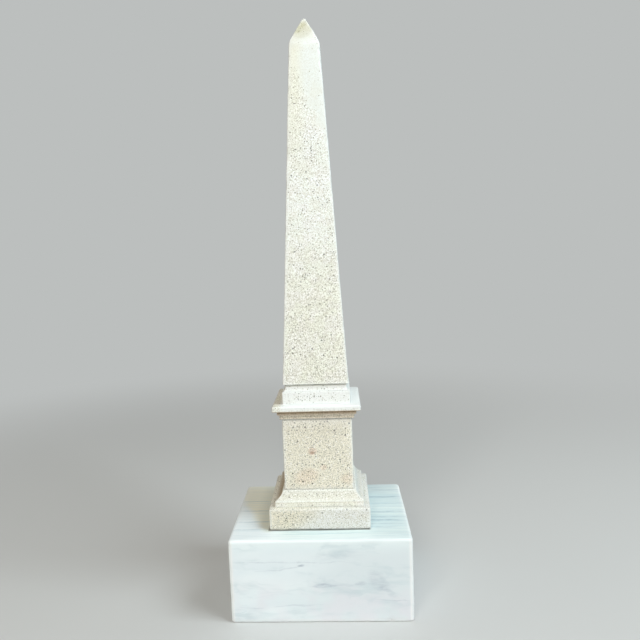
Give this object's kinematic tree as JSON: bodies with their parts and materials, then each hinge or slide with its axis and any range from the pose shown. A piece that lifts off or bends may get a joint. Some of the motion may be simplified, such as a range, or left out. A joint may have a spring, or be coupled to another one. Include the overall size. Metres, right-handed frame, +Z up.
{
  "type": "table-top stone obelisk",
  "caption": "Tall tapering square obelisk with a pointed cap, on a moulded pedestal and a plain marble block.",
  "frame": {"origin": "centre of the marble block's flat underside", "axes": "+Z up along the obelisk's axis, +X along the block's long side, -Y to the front"},
  "size_m": [0.1542, 0.126, 0.5073],
  "materials": {
    "cast_stone": "matt cream cast stone with fine grey-brown and black grains",
    "white_marble": "honed white marble with faint blue-grey streaks along its length"
  },
  "bodies": {
    "root": {"marble_block": "white_marble", "plinth": "cast_stone", "base_moulding": "cast_stone", "die": "cast_stone", "bed_moulding": "cast_stone", "cornice": "cast_stone", "step": "cast_stone", "neck": "cast_stone", "shaft": "cast_stone"}
  },
  "joints": []
}
